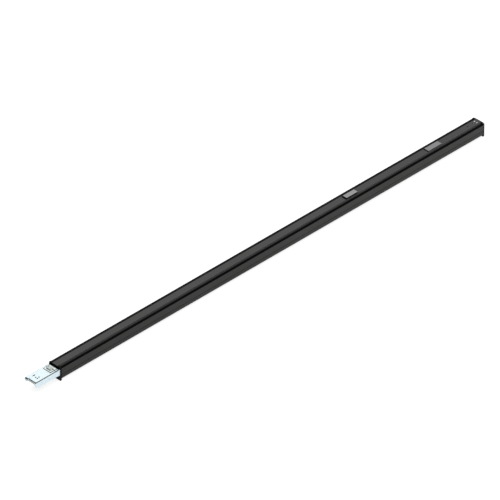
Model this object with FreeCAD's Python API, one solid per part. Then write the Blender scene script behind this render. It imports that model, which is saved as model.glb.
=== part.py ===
import FreeCAD, Part
import math
import os

# Lighting trunking rail: a roll-formed steel C-section with a raised top band between two grooves,
# a plated coupler fixed in one end and an open socket at the other. Millimetres, +X along the rail
# away from the coupler, -Y the front, +Z up. Origin: middle of the whole length, floor level.

# Rail section
rail_length = 2500.0
rail_width = 64.0
wall_height = 56.2          # underside of the lips to the top of the folded edges
sheet = 0.8                 # steel of the rail
bend = 1.6                  # outside radius of the bends
band_width = 31.5           # raised band along the middle of the top
band_rise = 3.8             # band above the folded edges
band_bend = 1.8             # outside radius along the band
groove_depth = 3.6          # groove floors below the folded edges
fold_width = 2.2            # doubled sheet at each outer top edge
step_height = 20.0          # lower strip of each wall, set in by one step
step_depth = 1.0
step_bend = 1.5
slot_width = 36.0           # opening between the bottom lips
lip_return = 6.0            # upturned edge of each lip

# Coupler
coupler_reach = 139.5       # out of the rail
coupler_grip = 120.0        # inside the rail
coupler_sheet = 1.5
coupler_bend = 3.0
side_clearance = 0.2        # coupler to the rail's walls
seat_clearance = 0.1        # coupler to the steps under it, and its plate to groove floors over it
nose_radius = 25.0          # lower corners of the legs, rounded to lead in
tip_lip = 12.0              # edge turned down at the tip
tip_lip_setback = 5.0       # behind the corners of the tip
tip_lip_width = 36.0
tip_lip_offset = -6.0       # off the middle, so that rails join one way round only
relief_width = 3.0          # notch between the turned edge and what is beside it
relief_depth = 6.0          # past the face of the turned edge
peg_slot = (36.0, 13.5)     # from the tip and from the middle
peg_slot_length = 14.0
peg_slot_width = 5.0
peg_holes = ((32.0, -1.0), (31.0, -12.0), (42.5, -9.5))
peg_hole_radius = 3.4

# Moulded insert under the coupler's tip, pegged into its slot and holes
insert_length = 46.0
insert_width = 55.0
insert_height = 2.5
insert_cap = 5.0            # of the tip, filled by the insert's corner
insert_corner = 2.0
insert_clearance = 0.2

# Clamp plate and threaded block on the coupler
plate_width = 44.0
plate_sheet = 1.2
plate_reach = 45.0          # out of the rail
plate_head = 21.5           # from the outer edge to the slits in the sides
slit_width = 1.8
slit_depth = 9.0
plate_corner = 2.0
plate_clearance = 0.2       # to the seal
block_length = 18.0
block_width = 26.0
block_corner = 2.0
block_clearance = 0.6       # under the band of the next rail

# Seal on the rail's end, over the coupler
seal_sheet = 6.0
seal_inset = 0.5            # below the top of the band and of the folded edges

# Fixing screws and punched slots at the open end
screw_inset = 22.0          # from the open end, and of the block from the seal
screw_spacing = 14.0
screw_radius = 2.5
screw_length = 7.0          # below the head
screw_clearance = 0.25
head_radius = 4.2
head_height = 1.6
head_round = 0.8
socket_radius = 1.7         # corners of the six-sided socket
socket_depth = 0.9
tapped_radius = 2.1
end_slot_length = 10.0
end_slot_width = 4.0
end_slot_insets = (38.0, 71.0)

# End clips round the section, hooked into the grooves
clip_length = 7.0
clip_drop = 7.5             # below the lips, which the clips hold off the floor
clip_wall = 0.9
clip_round = 0.6
hook_rise = 2.6             # of the hooks over the clips' arms
hook_width = 10.0           # at the top, from the band's side
clip_clearance = 0.1

# Marker plates on the band: distance of the middle from the open end, length, width
marker_plates = {
    "marker_plate_a": (785.0, 66.0, 24.5),
    "marker_plate_b": (283.5, 80.0, 27.5),
}
marker_sheet = 2.5
marker_corner = 1.5

# Levels and stations worked out from the sizes above
whole_length = coupler_reach + rail_length
tip = -whole_length / 2
rail_start = tip + coupler_reach
rail_end = whole_length / 2
half_width = rail_width / 2
half_band = band_width / 2
half_slot = slot_width / 2
lip_level = clip_drop
step_level = lip_level + step_height + step_depth
fold_level = lip_level + wall_height
band_level = fold_level + band_rise
groove_level = fold_level - groove_depth
coupler_level = groove_level - sheet - seat_clearance - plate_sheet
plate_level = coupler_level + plate_sheet
half_coupler = half_width - sheet - side_clearance
# The inside of the sloped step is one sheet in from its outside, at 45 degrees
ledge_level = step_level + sheet * (math.sqrt(2) - 1) - side_clearance
coupler_foot = ledge_level + seat_clearance
insert_level = coupler_level - coupler_sheet - insert_height
tip_lip_start = tip_lip_offset - tip_lip_width / 2
cap_start = tip_lip_start + tip_lip_width + relief_width
cap_end = half_coupler - coupler_bend


def at(x, y, z):
    return FreeCAD.Vector(x, y, z)


def bent_wire(corners):
    """Open wire of straight runs in the YZ plane, with an arc of its own radius at each bend."""
    points = [at(0, y, z) for y, z, radius in corners]
    radii = [radius for y, z, radius in corners]
    edges = []
    start = points[0]
    for before, corner, after, radius in zip(points, points[1:], points[2:], radii[1:]):
        back = (before - corner).normalize()
        ahead = (after - corner).normalize()
        half_turn = back.getAngle(ahead) / 2
        reach = radius / math.tan(half_turn)
        middle = (back + ahead).normalize()
        near = corner + back * reach
        far = corner + ahead * reach
        crown = corner + middle * (radius / math.sin(half_turn) - radius)
        if (near - start).Length > 1e-6:
            edges.append(Part.LineSegment(start, near).toShape())
        edges.append(Part.Arc(near, crown, far).toShape())
        start = far
    edges.append(Part.LineSegment(start, points[-1]).toShape())
    return Part.Wire(edges)


def bent_sheet(corners, thickness, start, length):
    """Sheet bent to an open outline of its outer face, as thick as given inwards, along X."""
    outline = bent_wire(corners)
    section = outline.makeOffset2D(thickness, join=0, fill=True, openResult=True)
    section.translate(at(start, 0, 0))
    return section.extrude(at(length, 0, 0))


def profile(corners, start, length):
    """Straight-sided section in the YZ plane, drawn out along X."""
    points = [at(start, y, z) for y, z in corners + corners[:1]]
    return Part.Face(Part.makePolygon(points)).extrude(at(length, 0, 0))


def mirrored(half):
    """Corners of half an outline, from one edge to the middle, with their mirror images."""
    return half + [(-y, *rest) for y, *rest in reversed(half)]


def plate(length, width, thickness, corner, centre):
    """Flat plate with rounded corners, its underside centred on the given point."""
    block = Part.makeBox(length, width, thickness, centre - at(length / 2, width / 2, 0))
    upright = [e for e in block.Edges if abs(e.Vertexes[0].Z - e.Vertexes[1].Z) > thickness / 2]
    return block.makeFillet(corner, upright)


def slot_cutter(length, width, centre, depth):
    """Round-ended slot along X, cut down from the given point."""
    straight = length - width
    cutter = Part.makeBox(straight, width, depth, centre - at(straight / 2, width / 2, depth))
    for side in (-1, 1):
        end = centre + at(side * straight / 2, 0, -depth)
        cutter = cutter.fuse(Part.makeCylinder(width / 2, depth, end))
    return cutter.removeSplitter()


def screw_places(x, z):
    """Points of the pair of fixing screws across the band."""
    return [at(x, side * screw_spacing / 2, z) for side in (-1, 1)]


def trunking_rail():
    """Roll-formed section from lip to lip, with the holes punched in its band."""
    half = [
        (-half_slot, lip_level + lip_return, 0),
        (-half_slot, lip_level, bend),
        (-half_width + step_depth, lip_level, bend),
        (-half_width + step_depth, lip_level + step_height, step_bend),
        (-half_width, step_level, step_bend),
        (-half_width, fold_level, fold_width / 2),
        (-half_width + fold_width, fold_level, fold_width / 2),
        (-half_width + fold_width, groove_level, bend),
        (-half_band, groove_level, bend),
        (-half_band, band_level, band_bend),
    ]
    rail = bent_sheet(mirrored(half), sheet, rail_start, rail_length)
    for place in screw_places(rail_end - screw_inset, band_level - sheet):
        rail = rail.cut(Part.makeCylinder(screw_radius + screw_clearance, sheet, place))
    for inset in end_slot_insets:
        centre = at(rail_end - inset, 0, band_level)
        rail = rail.cut(slot_cutter(end_slot_length, end_slot_width, centre, sheet))
    return rail


def pegs(clearance, top):
    """Slot and holes in the coupler's top, or the pegs in them, down from the given level."""
    x, y = peg_slot
    centre = at(tip + x, y, top)
    shapes = [slot_cutter(peg_slot_length - clearance, peg_slot_width - clearance, centre, coupler_sheet)]
    for x, y in peg_holes:
        foot = at(tip + x, y, top - coupler_sheet)
        shapes.append(Part.makeCylinder(peg_hole_radius - clearance, coupler_sheet, foot))
    return shapes


def coupler_channel():
    """Inverted channel with rounded leading corners and its edge turned down at the tip."""
    half = [(-half_coupler, coupler_foot, 0), (-half_coupler, coupler_level, coupler_bend)]
    channel = bent_sheet(mirrored(half), coupler_sheet, tip, coupler_reach + coupler_grip)
    nose_box = at(tip, -half_coupler, coupler_foot)
    nose = Part.makeBox(nose_radius, 2 * half_coupler, nose_radius, nose_box)
    nose_centre = at(tip + nose_radius, -half_coupler, coupler_foot + nose_radius)
    nose = nose.cut(Part.makeCylinder(nose_radius, 2 * half_coupler, nose_centre, at(0, 1, 0)))
    channel = channel.cut(nose)
    # The turned edge stands free of what is beside it, and the insert's corner caps the far corner
    under = coupler_level - coupler_sheet
    notch_start = tip_lip_start - relief_width
    notch_length = tip_lip_setback + relief_depth
    notch = Part.makeBox(notch_length, cap_start - notch_start, coupler_sheet, at(tip, notch_start, under))
    far_corner = Part.makeBox(insert_cap, cap_end - cap_start, coupler_sheet, at(tip, cap_start, under))
    channel = channel.cut(notch).cut(far_corner)
    lip_half = [
        (-relief_depth, coupler_level, 0),
        (0, coupler_level, coupler_bend),
        (0, coupler_level - tip_lip, 0),
    ]
    lip = bent_sheet(lip_half, coupler_sheet, tip_lip_start, tip_lip_width)
    lip.rotate(at(0, 0, 0), at(0, 0, 1), 90)
    lip.translate(at(tip + tip_lip_setback, 0, 0))
    channel = channel.fuse(lip).removeSplitter()
    for cutter in pegs(0, coupler_level):
        channel = channel.cut(cutter)
    return channel


def tip_insert():
    """Moulded insert under the coupler's top, with pegs and a corner that caps the tip's far corner."""
    start = tip + tip_lip_setback + coupler_bend + insert_clearance
    centre = at(start + insert_length / 2, 0, insert_level)
    insert = plate(insert_length, insert_width, insert_height, insert_corner, centre)
    corner = at(tip + insert_clearance, cap_start + insert_clearance, insert_level)
    cap_width = cap_end - cap_start - 2 * insert_clearance
    arm_length = start + insert_corner - corner.x
    insert = insert.fuse(Part.makeBox(arm_length, cap_width, insert_height, corner))
    cap_length = insert_cap - 2 * insert_clearance
    insert = insert.fuse(Part.makeBox(cap_length, cap_width, coupler_level - insert_level, corner))
    for peg in pegs(insert_clearance, coupler_level):
        insert = insert.fuse(peg)
    return insert.removeSplitter()


def clamp_plate():
    """Thin plate on the coupler that carries the threaded block, slit from both sides."""
    length = plate_reach - seal_sheet - plate_clearance
    start = rail_start - plate_reach
    made = plate(length, plate_width, plate_sheet, plate_corner, at(start + length / 2, 0, coupler_level))
    for y in (-plate_width / 2, plate_width / 2 - slit_depth):
        corner = at(start + plate_head, y, coupler_level)
        made = made.cut(Part.makeBox(slit_width, slit_depth, plate_sheet, corner))
    return made


def threaded_block():
    """Block on the clamp plate that takes the fixing screws of the next rail."""
    x = rail_start - seal_sheet - screw_inset
    height = band_level - sheet - block_clearance - plate_level
    block = plate(block_length, block_width, height, block_corner, at(x, 0, plate_level))
    for place in screw_places(x, plate_level):
        block = block.cut(Part.makeCylinder(tapped_radius, height, place))
    return block


def joint_seal():
    """Foam pad on the rail's end, from the coupler's top to just under the band and the folds."""
    side = half_coupler - coupler_bend
    middle = half_band - seal_inset
    half = [
        (-side, coupler_level),
        (-side, fold_level - seal_inset),
        (-middle, fold_level - seal_inset),
        (-middle, band_level - seal_inset),
    ]
    return profile(mirrored(half), rail_start - seal_sheet, seal_sheet)


def fixing_screw(place):
    """Round-headed screw with a six-sided socket, its head seated on the given point."""
    head = Part.makeCylinder(head_radius, head_height, place)
    rim = [e for e in head.Edges if e.isClosed() and e.CenterOfMass.z > place.z + head_height / 2]
    head = head.makeFillet(head_round, rim)
    corners = []
    for step in range(7):
        turn = math.radians(60 * step)
        across = at(socket_radius * math.cos(turn), socket_radius * math.sin(turn), head_height)
        corners.append(place + across)
    socket = Part.Face(Part.makePolygon(corners)).extrude(at(0, 0, -socket_depth))
    shank = Part.makeCylinder(screw_radius, screw_length, place - at(0, 0, screw_length))
    return head.fuse(shank).cut(socket).removeSplitter()


def end_clip(start):
    """Moulded clip: a bar under the lips, and an arm up each wall, over the fold, with a hook that
    fills the groove."""
    inside = half_width + clip_clearance
    outside = inside + clip_wall
    bar_top = lip_level - clip_clearance
    arm_under = fold_level + clip_clearance
    arm_top = arm_under + clip_wall
    hook_top = arm_top + hook_rise
    hook_foot = groove_level + clip_clearance
    hook_near = half_width - fold_width - clip_clearance
    hook_far = half_band + clip_clearance
    half = [
        (-inside, bar_top),
        (-inside, arm_under),
        (-hook_near, arm_under),
        (-hook_near, hook_foot + bend),
        (-hook_near + bend, hook_foot),
        (-hook_far - bend, hook_foot),
        (-hook_far, hook_foot + bend),
        (-hook_far, hook_top),
        (-hook_far - hook_width, hook_top),
        (-hook_far - hook_width - hook_rise, arm_top),
        (-outside, arm_top),
        (-outside, 0),
    ]
    clip = profile(mirrored(half), start, clip_length)
    outer = [e for e in clip.Edges if abs(e.CenterOfMass.y) > inside + clip_wall / 2 and e.Length > clip_wall]
    along = [e for e in outer if abs(e.Vertexes[0].X - e.Vertexes[1].X) > clip_length / 2]
    return clip.makeFillet(clip_round, along)


def marker_plate(inset, length, width):
    """Bare plate with rounded corners, standing on the band."""
    return plate(length, width, marker_sheet, marker_corner, at(rail_end - inset, 0, band_level))


pieces = {
    "trunking_rail": trunking_rail(),
    "coupler_channel": coupler_channel(),
    "clamp_plate": clamp_plate(),
    "threaded_block": threaded_block(),
    "tip_insert": tip_insert(),
    "joint_seal": joint_seal(),
    "end_clip_coupler_side": end_clip(rail_start),
    "end_clip_socket_side": end_clip(rail_end - clip_length),
}
for number, place in enumerate(screw_places(rail_end - screw_inset, band_level), start=1):
    pieces[f"fixing_screw_{number}"] = fixing_screw(place)
for name, sizes in marker_plates.items():
    pieces[name] = marker_plate(*sizes)

os.makedirs("parts", exist_ok=True)
for name, shape in pieces.items():
    shape.exportStep(f"parts/{name}.step")
    print(name, shape.isValid(), len(shape.Solids), round(shape.Volume, 1), shape.BoundBox)
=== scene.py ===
import math

import bpy
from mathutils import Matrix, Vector


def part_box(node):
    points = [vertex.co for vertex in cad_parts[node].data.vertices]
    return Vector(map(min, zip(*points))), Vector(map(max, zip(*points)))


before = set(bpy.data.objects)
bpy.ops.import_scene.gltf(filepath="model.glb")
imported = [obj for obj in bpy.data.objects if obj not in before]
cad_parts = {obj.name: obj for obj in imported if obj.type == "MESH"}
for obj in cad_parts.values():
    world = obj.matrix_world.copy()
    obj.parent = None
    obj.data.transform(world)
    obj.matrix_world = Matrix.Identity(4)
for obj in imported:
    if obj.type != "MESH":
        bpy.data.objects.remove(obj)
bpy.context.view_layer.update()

# The photograph's view, in its frame of 500 x 500 pixels. Lengths are metres where no unit is named
photo_pixels = 500
view_azimuth = math.radians(-45.0)
view_elevation = math.radians(35.139)
view_distance = 29.342
lens_mm = 507.64
sensor_mm = 36.0
rail_middle_pixel = (272.02, 245.76)
rail_middle_height = 0.0334

# Light: a colour on top of the rail renders about as it is written
sky_light = 0.45
overhead_light = 0.60
overhead_spread = math.radians(80)
backdrop_light = 1.0        # as the camera and glossy faces see it
floor_size = 80.0
floor_glow = 0.80           # of the white floor, so that its shadow stays as faint as in the photograph
shut_in_glow = 0.1          # where the floor is shut in, as inside the rail
shut_in_reach = 0.5         # how near the things are that shut it in
open_share = 0.1            # free part of the sky from which the glow is full

# Sockets of a Mix node: factor, two colours and the mixed colour, or two numbers
FACTOR, FIRST, SECOND, MIXED = 0, 6, 7, 2
FIRST_NUMBER, SECOND_NUMBER = 2, 3

# Shares of a face's normal along an axis
flat_share = 0.998          # from here up a face is flat
bent_share = 0.985          # from here down it is part of a bend
facing_share = 0.7          # from here up it looks along the axis
upright_share = 0.5         # along Z, from here down it stands upright

# Patterns that run along the rail and the coupler are drawn out along X
scuff_stretch = (0.06, 1.0, 1.0)
rolling_stretch = (0.03, 1.0, 1.0)

# Grooves and folds of the rail are painted deep black as shade, more so outwards, and less towards the back
rail_low, rail_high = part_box("trunking_rail")
fold_drop = 0.0067          # from the band's top to the middle of the folds and grooves
fold_line = rail_high.z - fold_drop
fold_reach = 0.0030         # above and below that line
fold_fade = 0.0032
groove_start = 0.0159       # just outside the band, from the middle
black_none = 0.0135         # from the middle, where the black would start
black_full = 0.0225
shade_fade_start = -0.02          # the painted shade fades from the front to the back
shade_fade_full = 0.02
groove_floor = 0.0602       # height up to which a groove's share of that fade holds
fold_foot = 0.0615          # height from which a fold's share of that fade holds
# shares of the painted shade that fade at the back, in a groove and on a fold
groove_shade_fade = 0.15
fold_shade_fade = 0.6

# Other painted light and shade on the rail's coat
step_line = 0.0266          # painted shadow under the step in the walls
step_half = 0.0006          # half the width of the dark line there
step_fade = 0.0022
step_shade = 0.8
band_side_reach = 0.0165    # of the band's sides, painted lighter against their shade, from the middle
wall_light_at_coupler = 0.89     # painted light: times the coat's colour, on faces that look to the front or the back
wall_light_at_open_end = 1.21
plate_shadows = {             # painted shadows beside the plates, as black lines: widths at a plate's left end and in front of it
    "marker_plate_a": (0.0095, 0.0036),
    "marker_plate_b": (0.0055, 0.0013),
}

# Marks and painted shade on the smaller pieces
slit_inset = 0.0224         # from the clamp plate's outer edge to the middle of the slits in its sides
slit_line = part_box("clamp_plate")[0].x + slit_inset
slit_end = 0.013            # inner ends of the slits, from the middle
slit_burr = 0.0040          # width of the dark line at the slits, on the clamp plate
slit_shade_width = 0.0024       # width of the dark line of painted shade at the slits, on the coupler
rim_burr = 0.0021           # width of the dark line round the clamp plate
dark_back_start = 0.0005          # start of the darker back, behind the middle of a screw's head
zinc_start = 0.0010         # in front of it
film_margin = 0.0010        # of bare plate behind the film
sharp_border = 0.0001       # over which a line fades out
soft_border = 0.0005


def linear(colour):
    """An sRGB hex colour as linear red, green, blue and alpha."""
    shares = [int(colour[start:start + 2], 16) / 255 for start in (1, 3, 5)]
    return [s / 12.92 if s <= 0.04045 else ((s + 0.055) / 1.055) ** 2.4 for s in shares] + [1.0]


def per_metre(size_mm):
    """Texture scale at which one feature is about this many millimetres across. Patterns keep their
    real sizes: the photograph is too coarse to show the finest, which close views do."""
    return 1000 / size_mm


def add(tree, kind, inputs=None, **settings):
    """Add a node with its settings, and set or link its inputs."""
    made = tree.nodes.new(kind)
    for name, value in settings.items():
        setattr(made, name, value)
    for socket, value in (inputs or {}).items():
        if isinstance(value, bpy.types.NodeSocket):
            tree.links.new(value, made.inputs[socket])
        else:
            made.inputs[socket].default_value = value
    return made


def start_material(name, **constants):
    """A new material: itself, its tree, its shader with constants set, and the place in metres."""
    material = bpy.data.materials.new(name)
    material.use_nodes = True
    tree = material.node_tree
    shader = tree.nodes["Principled BSDF"]
    for socket, value in constants.items():
        shader.inputs[socket.replace("_", " ")].default_value = value
    place = add(tree, "ShaderNodeTexCoord").outputs["Object"]
    return material, tree, shader, place


def finish_surface(tree, shader, colour, roughness, height, depth_mm):
    """Link the nodes of colour and roughness, and a bump of the given depth, to the shader."""
    bump = add(tree, "ShaderNodeBump", {"Height": height, "Distance": depth_mm / 1000, "Strength": 1.0})
    tree.links.new(colour.outputs[MIXED], shader.inputs["Base Color"])
    tree.links.new(roughness.outputs[0], shader.inputs["Roughness"])
    tree.links.new(bump.outputs[0], shader.inputs["Normal"])


def facing(tree):
    """How far a face looks along X, Y and Z, one way or the other."""
    normal = add(tree, "ShaderNodeNewGeometry").outputs["True Normal"]
    size = add(tree, "ShaderNodeVectorMath", {0: normal}, operation="ABSOLUTE")
    return add(tree, "ShaderNodeSeparateXYZ", {0: size.outputs[0]}).outputs


def bend_mask(tree):
    """One on bends, whose faces look along none of the three axes, and zero on flat faces."""
    share = facing(tree)
    across = add(tree, "ShaderNodeMath", {0: share["X"], 1: share["Y"]}, operation="MAXIMUM")
    most = add(tree, "ShaderNodeMath", {0: across.outputs[0], 1: share["Z"]}, operation="MAXIMUM")
    return add(tree, "ShaderNodeMapRange", {
        "Value": most.outputs[0], "From Min": flat_share, "From Max": bent_share}).outputs[0]


def edge_mask(tree):
    """One on faces that stand upright, such as the cut edges of a flat plate."""
    return add(tree, "ShaderNodeMath", {
        0: facing(tree)["Z"], 1: upright_share}, operation="LESS_THAN").outputs[0]


def looks_along(tree, axis):
    """One on faces that look along this axis, one way or the other."""
    return add(tree, "ShaderNodeMath", {
        0: facing(tree)[axis], 1: facing_share}, operation="GREATER_THAN").outputs[0]


def near_level(tree, height, level, full, none):
    """One within the first distance of a level, falling to zero at the second."""
    off = add(tree, "ShaderNodeMath", {0: height, 1: level}, operation="SUBTRACT")
    away = add(tree, "ShaderNodeMath", {0: off.outputs[0]}, operation="ABSOLUTE")
    return add(tree, "ShaderNodeMapRange", {
        "Value": away.outputs[0], "From Min": full, "From Max": none,
        "To Min": 1.0, "To Max": 0.0}).outputs[0]


def slit_mask(tree, place, width):
    """One on top, in a line of this width across both sides of the coupler, at the clamp plate's slits."""
    axes = add(tree, "ShaderNodeSeparateXYZ", {0: place}).outputs
    off_middle = add(tree, "ShaderNodeMath", {0: axes["Y"]}, operation="ABSOLUTE")
    side = add(tree, "ShaderNodeMath", {0: off_middle.outputs[0], 1: slit_end}, operation="GREATER_THAN")
    line = near_level(tree, axes["X"], slit_line, width / 2, width / 2 + sharp_border)
    across = add(tree, "ShaderNodeMath", {0: line, 1: side.outputs[0]}, operation="MULTIPLY")
    return add(tree, "ShaderNodeMath", {
        0: across.outputs[0], 1: looks_along(tree, "Z")}, operation="MULTIPLY").outputs[0]


def past_sides(tree, place, low, high):
    """How far a place lies past the sides of a rectangle seen from above, below zero inside it."""
    middle = (low + high) / 2
    half = (high - low) / 2
    centred = add(tree, "ShaderNodeVectorMath", {0: place, 1: middle}, operation="SUBTRACT")
    size = add(tree, "ShaderNodeVectorMath", {0: centred.outputs[0]}, operation="ABSOLUTE")
    past = add(tree, "ShaderNodeVectorMath", {0: size.outputs[0], 1: half}, operation="SUBTRACT")
    axes = add(tree, "ShaderNodeSeparateXYZ", {0: past.outputs[0]}).outputs
    return add(tree, "ShaderNodeMath", {0: axes["X"], 1: axes["Y"]}, operation="MAXIMUM").outputs[0]


def rim_mask(tree, place, node, width):
    """One within this width of the outline of a flat node, seen from above."""
    low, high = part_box(node)
    inset = Vector((width, width, 0))
    past = past_sides(tree, place, low + inset, high - inset)
    return add(tree, "ShaderNodeMath", {0: past, 1: 0.0}, operation="GREATER_THAN").outputs[0]


def beside_mask(tree, place, node, at_left, in_front):
    """One in lines of these widths at the left end of a flat node and in front of it, softly bordered."""
    low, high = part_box(node)
    past = past_sides(tree, place, low - Vector((at_left, in_front, 0)), high)
    return add(tree, "ShaderNodeMapRange", {
        "Value": past, "From Min": 0.0, "From Max": -soft_border}).outputs[0]


def groove_shade_mask(tree, axes, off_middle):
    """One where shade is painted in the grooves and on the folds beside them, less near the band and less at
    the back.
    """
    outwards = add(tree, "ShaderNodeMapRange", {
        "Value": off_middle, "From Min": black_none, "From Max": black_full})
    beside = add(tree, "ShaderNodeMath", {0: off_middle, 1: groove_start}, operation="GREATER_THAN")
    groove = add(tree, "ShaderNodeMath", {
        0: outwards.outputs[0], 1: beside.outputs[0]}, operation="MULTIPLY")
    folded = near_level(tree, axes["Z"], fold_line, fold_reach, fold_fade)
    sheltered = add(tree, "ShaderNodeMath", {0: folded, 1: groove.outputs[0]}, operation="MULTIPLY")
    # The painted shade fades towards the back, more on the folds than in the grooves
    back = add(tree, "ShaderNodeMapRange", {
        "Value": axes["Y"], "From Min": shade_fade_start, "From Max": shade_fade_full})
    fade_by_height = add(tree, "ShaderNodeMapRange", {
        "Value": axes["Z"], "From Min": groove_floor, "From Max": fold_foot,
        "To Min": groove_shade_fade, "To Max": fold_shade_fade})
    shade_fade = add(tree, "ShaderNodeMath", {0: back.outputs[0], 1: fade_by_height.outputs[0]}, operation="MULTIPLY")
    shade_kept = add(tree, "ShaderNodeMath", {0: 1.0, 1: shade_fade.outputs[0]}, operation="SUBTRACT")
    return add(tree, "ShaderNodeMath", {
        0: sheltered.outputs[0], 1: shade_kept.outputs[0]}, operation="MULTIPLY").outputs[0]


def painted_shade_mask(tree, place, axes, off_middle):
    """One where shade is painted deep black on the coat: grooves, folds, under the step and beside the
    marker plates.
    """
    stepped = near_level(tree, axes["Z"], step_line, step_half, step_fade)
    step_shadow = add(tree, "ShaderNodeMath", {0: stepped, 1: step_shade}, operation="MULTIPLY")
    marks = [step_shadow.outputs[0]]
    # Painted shadows beside the marker plates
    for node, (at_left, in_front) in plate_shadows.items():
        marks.append(beside_mask(tree, place, node, at_left, in_front))
    deepest = groove_shade_mask(tree, axes, off_middle)
    for mark in marks:
        deepest = add(tree, "ShaderNodeMath", {0: deepest, 1: mark}, operation="MAXIMUM").outputs[0]
    return deepest


def black_powder_coat():
    """Matt polyester powder coat on roll-formed steel, with a fine orange-peel skin. Dust and handling
    grey it. The band's sides are painted lighter and the walls painted with light that rises towards the
    open end; grooves, folds, a line under the step and lines beside the marker plates are painted deep black
    as shade."""
    material, tree, shader, place = start_material("black_powder_coat", Specular_IOR_Level=0.015)
    cloud = add(tree, "ShaderNodeTexNoise", {"Vector": place, "Scale": per_metre(150), "Detail": 4.0})
    peel = add(tree, "ShaderNodeTexNoise", {"Vector": place, "Scale": per_metre(1.6), "Detail": 2.0})
    along = add(tree, "ShaderNodeMapping", {"Vector": place, "Scale": scuff_stretch})
    scuff = add(tree, "ShaderNodeTexNoise", {
        "Vector": along.outputs[0], "Scale": per_metre(2.5), "Detail": 3.0, "Roughness": 0.65})
    dusty = add(tree, "ShaderNodeMix", {
        FACTOR: cloud.outputs[0], FIRST: linear("#4a4a49"), SECOND: linear("#525252")}, data_type="RGBA")
    scuff_and_side_shade = add(tree, "ShaderNodeMapRange", {
        "Value": scuff.outputs[0], "From Min": 0.55, "From Max": 0.8, "To Max": 0.35})
    scuffed = add(tree, "ShaderNodeMix", {
        FACTOR: scuff_and_side_shade.outputs[0], FIRST: dusty.outputs[MIXED], SECOND: linear("#60605e")}, data_type="RGBA")
    axes = add(tree, "ShaderNodeSeparateXYZ", {0: place}).outputs
    off_middle = add(tree, "ShaderNodeMath", {0: axes["Y"]}, operation="ABSOLUTE").outputs[0]
    upright = looks_along(tree, "Y")
    # The band's sides are painted lighter, as light against the shade beside the grooves
    inner = add(tree, "ShaderNodeMath", {0: off_middle, 1: band_side_reach}, operation="LESS_THAN")
    band_side = add(tree, "ShaderNodeMath", {0: upright, 1: inner.outputs[0]}, operation="MULTIPLY")
    band_side_lit = add(tree, "ShaderNodeMix", {
        FACTOR: band_side.outputs[0], FIRST: scuffed.outputs[MIXED],
        SECOND: linear("#606060")}, data_type="RGBA")
    # The walls are painted with light, darker at the coupler's end and lighter at the open end
    towards_end = add(tree, "ShaderNodeMapRange", {
        "Value": axes["X"], "From Min": rail_low.x, "From Max": rail_high.x,
        "To Min": wall_light_at_coupler, "To Max": wall_light_at_open_end})
    walls = add(tree, "ShaderNodeMix", {
        FACTOR: upright, FIRST_NUMBER: 1.0, SECOND_NUMBER: towards_end.outputs[0]}, data_type="FLOAT")
    wall_lit_colour = add(tree, "ShaderNodeVectorMath", {
        0: band_side_lit.outputs[MIXED], "Scale": walls.outputs[0]}, operation="SCALE")
    # Shade is painted deep black in the grooves, on the folds, under the step and beside the marker plates
    colour = add(tree, "ShaderNodeMix", {
        FACTOR: painted_shade_mask(tree, place, axes, off_middle), FIRST: wall_lit_colour.outputs[0],
        SECOND: linear("#050505")}, data_type="RGBA")
    roughness = add(tree, "ShaderNodeMapRange", {
        "Value": scuff.outputs[0], "From Min": 0.3, "From Max": 0.7, "To Min": 0.5, "To Max": 0.65})
    finish_surface(tree, shader, colour, roughness, peel.outputs[0], depth_mm=0.05)
    return material


def galvanised_sheet():
    """Hot-dip galvanised steel sheet: pale and cool, with a faint spangle of zinc crystals and fine
    rolling lines. Its top is painted lighter and its sides darker, as light falls; it is dark at its bends,
    painted with shade in the clamp plate's slits, and painted grey as shade on faces that look along the
    rail."""
    material, tree, shader, place = start_material("galvanised_sheet", Metallic=0.7)
    spangle = add(tree, "ShaderNodeTexVoronoi", {"Vector": place, "Scale": per_metre(9)})
    crystal = add(tree, "ShaderNodeSeparateXYZ", {0: spangle.outputs["Color"]})
    along = add(tree, "ShaderNodeMapping", {"Vector": place, "Scale": rolling_stretch})
    rolling = add(tree, "ShaderNodeTexNoise", {
        "Vector": along.outputs[0], "Scale": per_metre(1.2), "Detail": 3.0})
    # The sides are painted darker and the top lighter, as light falls
    scuff_and_side_shade = add(tree, "ShaderNodeMix", {
        FACTOR: crystal.outputs[0], FIRST: linear("#d7e7ee"), SECOND: linear("#e1f1f7")}, data_type="RGBA")
    bright = add(tree, "ShaderNodeMix", {
        FACTOR: crystal.outputs[0], FIRST: linear("#e6f6fb"), SECOND: linear("#eefcff")}, data_type="RGBA")
    zinc = add(tree, "ShaderNodeMix", {
        FACTOR: looks_along(tree, "Z"), FIRST: scuff_and_side_shade.outputs[MIXED],
        SECOND: bright.outputs[MIXED]}, data_type="RGBA")
    # Faces that look along the rail are painted grey as shade
    shaded = add(tree, "ShaderNodeMix", {
        FACTOR: looks_along(tree, "X"), FIRST: zinc.outputs[MIXED],
        SECOND: linear("#a6aca9")}, data_type="RGBA")
    # Bends are dark, and shade is painted in the slits of the clamp plate
    marked = add(tree, "ShaderNodeMath", {
        0: bend_mask(tree), 1: slit_mask(tree, place, slit_shade_width)}, operation="MAXIMUM")
    colour = add(tree, "ShaderNodeMix", {
        FACTOR: marked.outputs[0], FIRST: shaded.outputs[MIXED],
        SECOND: linear("#30383b")}, data_type="RGBA")
    roughness = add(tree, "ShaderNodeMapRange", {
        "Value": crystal.outputs[1], "To Min": 0.34, "To Max": 0.46})
    finish_surface(tree, shader, colour, roughness, rolling.outputs[0], depth_mm=0.02)
    return material


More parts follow.
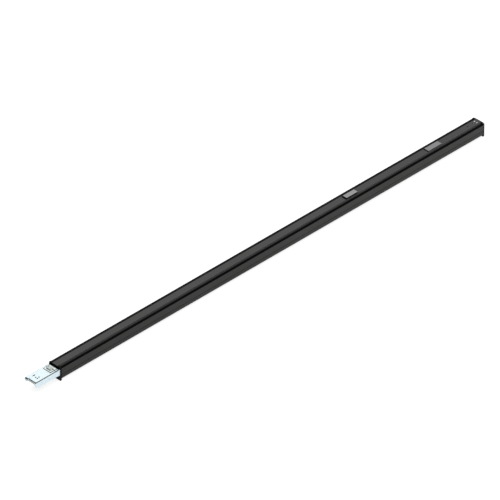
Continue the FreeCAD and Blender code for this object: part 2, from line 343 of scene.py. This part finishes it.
def sheared_zinc_plate():
    """Zinc-plated steel plate, sheared to size: its face is bright, faintly blue from the passivate, and
    its cut edges are bare and dark, with a dark burr round the rim and the slits."""
    material, tree, shader, place = start_material("sheared_zinc_plate", Metallic=0.3)
    stain = add(tree, "ShaderNodeTexNoise", {"Vector": place, "Scale": per_metre(18), "Detail": 4.0})
    grain = add(tree, "ShaderNodeTexNoise", {"Vector": place, "Scale": per_metre(0.9), "Detail": 2.0})
    zinc = add(tree, "ShaderNodeMix", {
        FACTOR: stain.outputs[0], FIRST: linear("#ebf8f8"), SECOND: linear("#f6ffff")}, data_type="RGBA")
    cut = add(tree, "ShaderNodeMath", {
        0: edge_mask(tree), 1: rim_mask(tree, place, "clamp_plate", rim_burr)}, operation="MAXIMUM")
    marked = add(tree, "ShaderNodeMath", {
        0: cut.outputs[0], 1: slit_mask(tree, place, slit_burr)}, operation="MAXIMUM")
    colour = add(tree, "ShaderNodeMix", {
        FACTOR: marked.outputs[0], FIRST: zinc.outputs[MIXED], SECOND: linear("#1c2022")}, data_type="RGBA")
    roughness = add(tree, "ShaderNodeMapRange", {"Value": stain.outputs[0], "To Min": 0.32, "To Max": 0.48})
    finish_surface(tree, shader, colour, roughness, grain.outputs[0], depth_mm=0.015)
    return material


def zinc_plated_bar():
    """Cold-drawn steel bar, zinc-plated: soft cloudy grey on the drawn faces, and painted darker as shade on
    the sawn ends.
    """
    material, tree, shader, place = start_material("zinc_plated_bar", Metallic=0.8)
    stain = add(tree, "ShaderNodeTexNoise", {"Vector": place, "Scale": per_metre(6), "Detail": 4.0})
    grain = add(tree, "ShaderNodeTexNoise", {"Vector": place, "Scale": per_metre(0.6), "Detail": 2.0})
    face = add(tree, "ShaderNodeMix", {
        FACTOR: stain.outputs[0], FIRST: linear("#bfc5c1"), SECOND: linear("#d3d8d5")}, data_type="RGBA")
    # The sawn ends, which look along the rail, are painted darker as shade
    colour = add(tree, "ShaderNodeMix", {
        FACTOR: looks_along(tree, "X"), FIRST: face.outputs[MIXED],
        SECOND: linear("#83827a")}, data_type="RGBA")
    roughness = add(tree, "ShaderNodeMapRange", {"Value": stain.outputs[0], "To Min": 0.3, "To Max": 0.5})
    finish_surface(tree, shader, colour, roughness, grain.outputs[0], depth_mm=0.02)
    return material


def zinc_plated_screw(name, node, dark, pale):
    """Bright zinc plating on a cold-headed steel screw, with light rub marks in front, and darker on the
    back of the head."""
    material, tree, shader, place = start_material(name, Metallic=0.85)
    rub = add(tree, "ShaderNodeTexNoise", {"Vector": place, "Scale": per_metre(2), "Detail": 4.0})
    zinc = add(tree, "ShaderNodeMix", {
        FACTOR: rub.outputs[0], FIRST: linear(dark), SECOND: linear(pale)}, data_type="RGBA")
    low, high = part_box(node)
    middle = (low.y + high.y) / 2
    axes = add(tree, "ShaderNodeSeparateXYZ", {0: place}).outputs
    # The back of the head is darker
    front = add(tree, "ShaderNodeMapRange", {
        "Value": axes["Y"], "From Min": middle + dark_back_start, "From Max": middle - zinc_start})
    colour = add(tree, "ShaderNodeMix", {
        FACTOR: front.outputs[0], FIRST: linear("#484a4b"), SECOND: zinc.outputs[MIXED]}, data_type="RGBA")
    roughness = add(tree, "ShaderNodeMapRange", {"Value": rub.outputs[0], "To Min": 0.2, "To Max": 0.36})
    finish_surface(tree, shader, colour, roughness, rub.outputs[0], depth_mm=0.01)
    return material


def black_nylon(name, sides):
    """Glass-filled nylon, injection moulded: matt black with a fine spark-eroded grain, and on its
    sides a given colour, painted lighter as light on the clip at the open end."""
    material, tree, shader, place = start_material(name, Specular_IOR_Level=0.05)
    flow = add(tree, "ShaderNodeTexNoise", {"Vector": place, "Scale": per_metre(12), "Detail": 3.0})
    grain = add(tree, "ShaderNodeTexNoise", {"Vector": place, "Scale": per_metre(0.7), "Detail": 2.0})
    moulded = add(tree, "ShaderNodeMix", {
        FACTOR: flow.outputs[0], FIRST: linear("#0d0d0e"), SECOND: linear("#1a1a1b")}, data_type="RGBA")
    colour = add(tree, "ShaderNodeMix", {
        FACTOR: looks_along(tree, "Y"), FIRST: moulded.outputs[MIXED],
        SECOND: linear(sides)}, data_type="RGBA")
    roughness = add(tree, "ShaderNodeMapRange", {"Value": grain.outputs[0], "To Min": 0.55, "To Max": 0.75})
    finish_surface(tree, shader, colour, roughness, grain.outputs[0], depth_mm=0.04)
    return material


def black_foam():
    """Closed-cell rubber foam: dull black, pitted with cells."""
    material, tree, shader, place = start_material("black_foam", Specular_IOR_Level=0.01)
    cells = add(tree, "ShaderNodeTexVoronoi", {"Vector": place, "Scale": per_metre(0.9)})
    pit = cells.outputs["Distance"]
    colour = add(tree, "ShaderNodeMix", {
        FACTOR: pit, FIRST: linear("#080808"), SECOND: linear("#030303")}, data_type="RGBA")
    roughness = add(tree, "ShaderNodeMapRange", {"Value": pit, "To Min": 0.8, "To Max": 0.95})
    finish_surface(tree, shader, colour, roughness, pit, depth_mm=0.2)
    return material


def grey_film_on_black_plate(name, node, dark, pale):
    """Matt grey polyester film on a black moulded plate: the film is on top, a little cloudy, and the
    plate stays black on its sides and in a line along its back."""
    material, tree, shader, place = start_material(name, Specular_IOR_Level=0.05)
    cloud = add(tree, "ShaderNodeTexNoise", {"Vector": place, "Scale": per_metre(22), "Detail": 3.0})
    grain = add(tree, "ShaderNodeTexNoise", {"Vector": place, "Scale": per_metre(0.8), "Detail": 2.0})
    film = add(tree, "ShaderNodeMix", {
        FACTOR: cloud.outputs[0], FIRST: linear(dark), SECOND: linear(pale)}, data_type="RGBA")
    axes = add(tree, "ShaderNodeSeparateXYZ", {0: place}).outputs
    film_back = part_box(node)[1].y - film_margin
    behind = add(tree, "ShaderNodeMath", {0: axes["Y"], 1: film_back}, operation="GREATER_THAN")
    bare = add(tree, "ShaderNodeMath", {0: edge_mask(tree), 1: behind.outputs[0]}, operation="MAXIMUM")
    colour = add(tree, "ShaderNodeMix", {
        FACTOR: bare.outputs[0], FIRST: film.outputs[MIXED], SECOND: linear("#0a0a0a")}, data_type="RGBA")
    roughness = add(tree, "ShaderNodeMapRange", {"Value": cloud.outputs[0], "To Min": 0.4, "To Max": 0.55})
    finish_surface(tree, shader, colour, roughness, grain.outputs[0], depth_mm=0.01)
    return material


def dress(finishes):
    """Give each CAD node its finish."""
    for name, material in finishes.items():
        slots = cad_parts[name].data.materials
        slots.clear()
        slots.append(material)


def seen_directly(tree):
    """One for rays from the camera, from glossy faces and through clear ones, which see the backdrop."""
    path = add(tree, "ShaderNodeLightPath")
    glossy = add(tree, "ShaderNodeMath", {
        0: path.outputs["Is Camera Ray"], 1: path.outputs["Is Glossy Ray"]}, operation="MAXIMUM")
    return add(tree, "ShaderNodeMath", {
        0: glossy.outputs[0], 1: path.outputs["Is Transmission Ray"]}, operation="MAXIMUM").outputs[0]


def white_floor():
    """Matt white studio floor that catches a faint shadow."""
    bpy.ops.mesh.primitive_plane_add(size=floor_size)
    floor = bpy.context.object
    floor.name = "floor"
    material = bpy.data.materials.new("white_floor_paint")
    material.use_nodes = True
    tree = material.node_tree
    tree.nodes.clear()
    # The camera and glossy faces see grey paint that glows to white, and all else sees plain paint
    plain = add(tree, "ShaderNodeBsdfDiffuse", {"Color": linear("#d4d4d2")})
    shade = add(tree, "ShaderNodeBsdfDiffuse", {"Color": linear("#a0a0a0")})
    # The glow fades where the floor is shut in, as inside the rail
    open_sky = add(tree, "ShaderNodeAmbientOcclusion", {"Distance": shut_in_reach})
    kept = add(tree, "ShaderNodeMapRange", {
        "Value": open_sky.outputs["AO"], "From Max": open_share,
        "To Min": shut_in_glow, "To Max": floor_glow})
    glow = add(tree, "ShaderNodeEmission", {"Color": linear("#ffffff"), "Strength": kept.outputs[0]})
    white = add(tree, "ShaderNodeAddShader", {0: shade.outputs[0], 1: glow.outputs[0]})
    either = add(tree, "ShaderNodeMixShader", {
        0: seen_directly(tree), 1: plain.outputs[0], 2: white.outputs[0]})
    add(tree, "ShaderNodeOutputMaterial", {"Surface": either.outputs[0]})
    floor.data.materials.append(material)


def studio_light():
    """A broad soft light overhead, an even sky and a white backdrop."""
    lamp = bpy.data.lights.new("overhead", "SUN")
    lamp.energy = overhead_light * math.pi
    lamp.angle = overhead_spread
    overhead = bpy.data.objects.new("overhead", lamp)
    overhead.visible_glossy = False     # metal shows the even backdrop, so its colour holds from all sides
    bpy.context.scene.collection.objects.link(overhead)
    world = bpy.data.worlds.new("studio")
    bpy.context.scene.world = world
    world.use_nodes = True
    tree = world.node_tree
    tree.nodes.clear()
    sky = add(tree, "ShaderNodeBackground", {"Color": linear("#ffffff"), "Strength": sky_light})
    backdrop = add(tree, "ShaderNodeBackground", {
        "Color": linear("#ffffff"), "Strength": backdrop_light})
    either = add(tree, "ShaderNodeMixShader", {
        0: seen_directly(tree), 1: sky.outputs[0], 2: backdrop.outputs[0]})
    add(tree, "ShaderNodeOutputWorld", {"Surface": either.outputs[0]})


def photograph_camera():
    """Camera at the photograph's angle, set so that the middle of the rail falls on its pixel."""
    right = Vector((math.cos(view_azimuth), math.sin(view_azimuth), 0))
    back = Vector((
        math.sin(view_azimuth) * math.cos(view_elevation),
        -math.cos(view_azimuth) * math.cos(view_elevation),
        math.sin(view_elevation)))
    up = back.cross(right)
    middle = Vector(((rail_low.x + rail_high.x) / 2, 0, rail_middle_height))
    pixel = view_distance * sensor_mm / lens_mm / photo_pixels
    aside = (rail_middle_pixel[0] - photo_pixels / 2) * pixel
    above = (photo_pixels / 2 - rail_middle_pixel[1]) * pixel
    data = bpy.data.cameras.new("camera")
    data.lens = lens_mm
    data.sensor_width = sensor_mm
    data.clip_end = view_distance + floor_size      # past the floor's far corner
    camera = bpy.data.objects.new("camera", data)
    camera.location = middle + back * view_distance - right * aside - up * above
    camera.rotation_euler = back.to_track_quat("Z", "Y").to_euler()
    bpy.context.scene.collection.objects.link(camera)
    bpy.context.scene.camera = camera


nylon = black_nylon("black_nylon", "#131314")
dress({
    "trunking_rail": black_powder_coat(),
    "coupler_channel": galvanised_sheet(),
    "clamp_plate": sheared_zinc_plate(),
    "threaded_block": zinc_plated_bar(),
    "tip_insert": nylon,
    "joint_seal": black_foam(),
    "end_clip_coupler_side": nylon,
    # The clip at the open end has its front and back painted lighter, as light
    "end_clip_socket_side": black_nylon("black_nylon_lit_sides", "#4a4a4a"),
    # The two screws are alike: the near one is painted in shade, the far one painted lit
    "fixing_screw_1": zinc_plated_screw("shaded_zinc_plate", "fixing_screw_1", "#c8cacb", "#dcdedf"),
    "fixing_screw_2": zinc_plated_screw("lit_zinc_plate", "fixing_screw_2", "#ecedee", "#fcfdfd"),
    "marker_plate_a": grey_film_on_black_plate("pale_grey_film", "marker_plate_a", "#8f8f8f", "#9d9d9d"),
    "marker_plate_b": grey_film_on_black_plate("mid_grey_film", "marker_plate_b", "#7e7e7e", "#8c8c8c"),
})

white_floor()
studio_light()
photograph_camera()
bpy.context.scene.view_settings.view_transform = "Standard"
